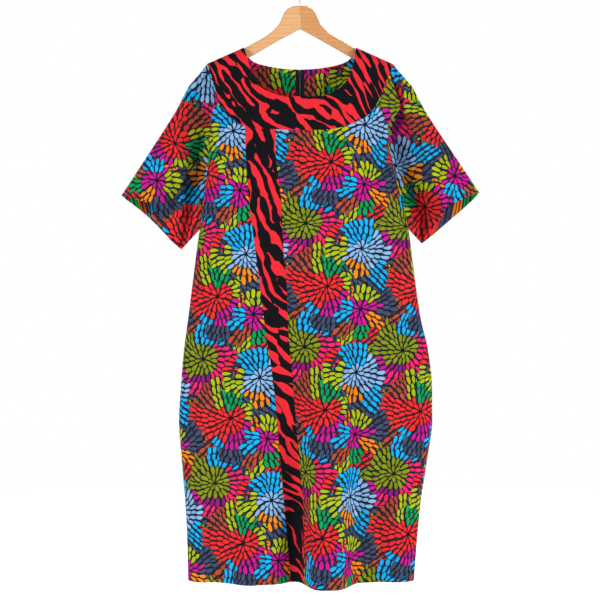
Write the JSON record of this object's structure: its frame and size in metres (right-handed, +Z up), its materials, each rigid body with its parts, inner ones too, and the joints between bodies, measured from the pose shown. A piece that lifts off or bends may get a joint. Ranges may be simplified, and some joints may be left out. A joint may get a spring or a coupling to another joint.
{
  "type": "shift dress on a hanger",
  "caption": "Wide-sleeved shift dress with a contrast scoop yoke, a slanting front strip and a zipped back, on a wooden hanger.",
  "frame": {"origin": "inside top of the hook, where it bears on the rail", "axes": "+Z up along the dress's length, +X to the viewer's right of the front, -Y out of the front"},
  "size_m": [0.7679, 0.1737, 1.3069],
  "materials": {
    "floral_cloth": "matte printed cotton, petal bursts in red, magenta, cyan, lime and orange on slate",
    "zebra_cloth": "matte printed cotton, red and black animal stripes",
    "zip_tape": "black woven tape",
    "zip_metal": "black satin",
    "wood_light": "clear satin lacquer",
    "wood_shaded": "clear satin lacquer",
    "hook_wire": "dark steel wire"
  },
  "bodies": {
    "dress": {"front_yoke": "zebra_cloth", "centre_strip": "zebra_cloth", "front_left": "floral_cloth", "front_right": "floral_cloth", "back_left": "floral_cloth", "back_right": "floral_cloth", "sleeve_left": "floral_cloth", "sleeve_right": "floral_cloth", "zip_tape_left": "zip_tape", "zip_tape_right": "zip_tape", "zip_slider": "zip_metal", "hanger_half_left": "wood_light", "hanger_half_right": "wood_shaded", "hook": "hook_wire"},
    "pull": {"zip_pull": "zip_metal"}
  },
  "joints": [
    {"name": "pull_hinge", "type": "hinge", "parent": "dress", "child": "pull", "pos_m": [0, 0.0267, -0.21365], "axis": [1, 0, 0], "range_deg": [0, 150]}
  ]
}
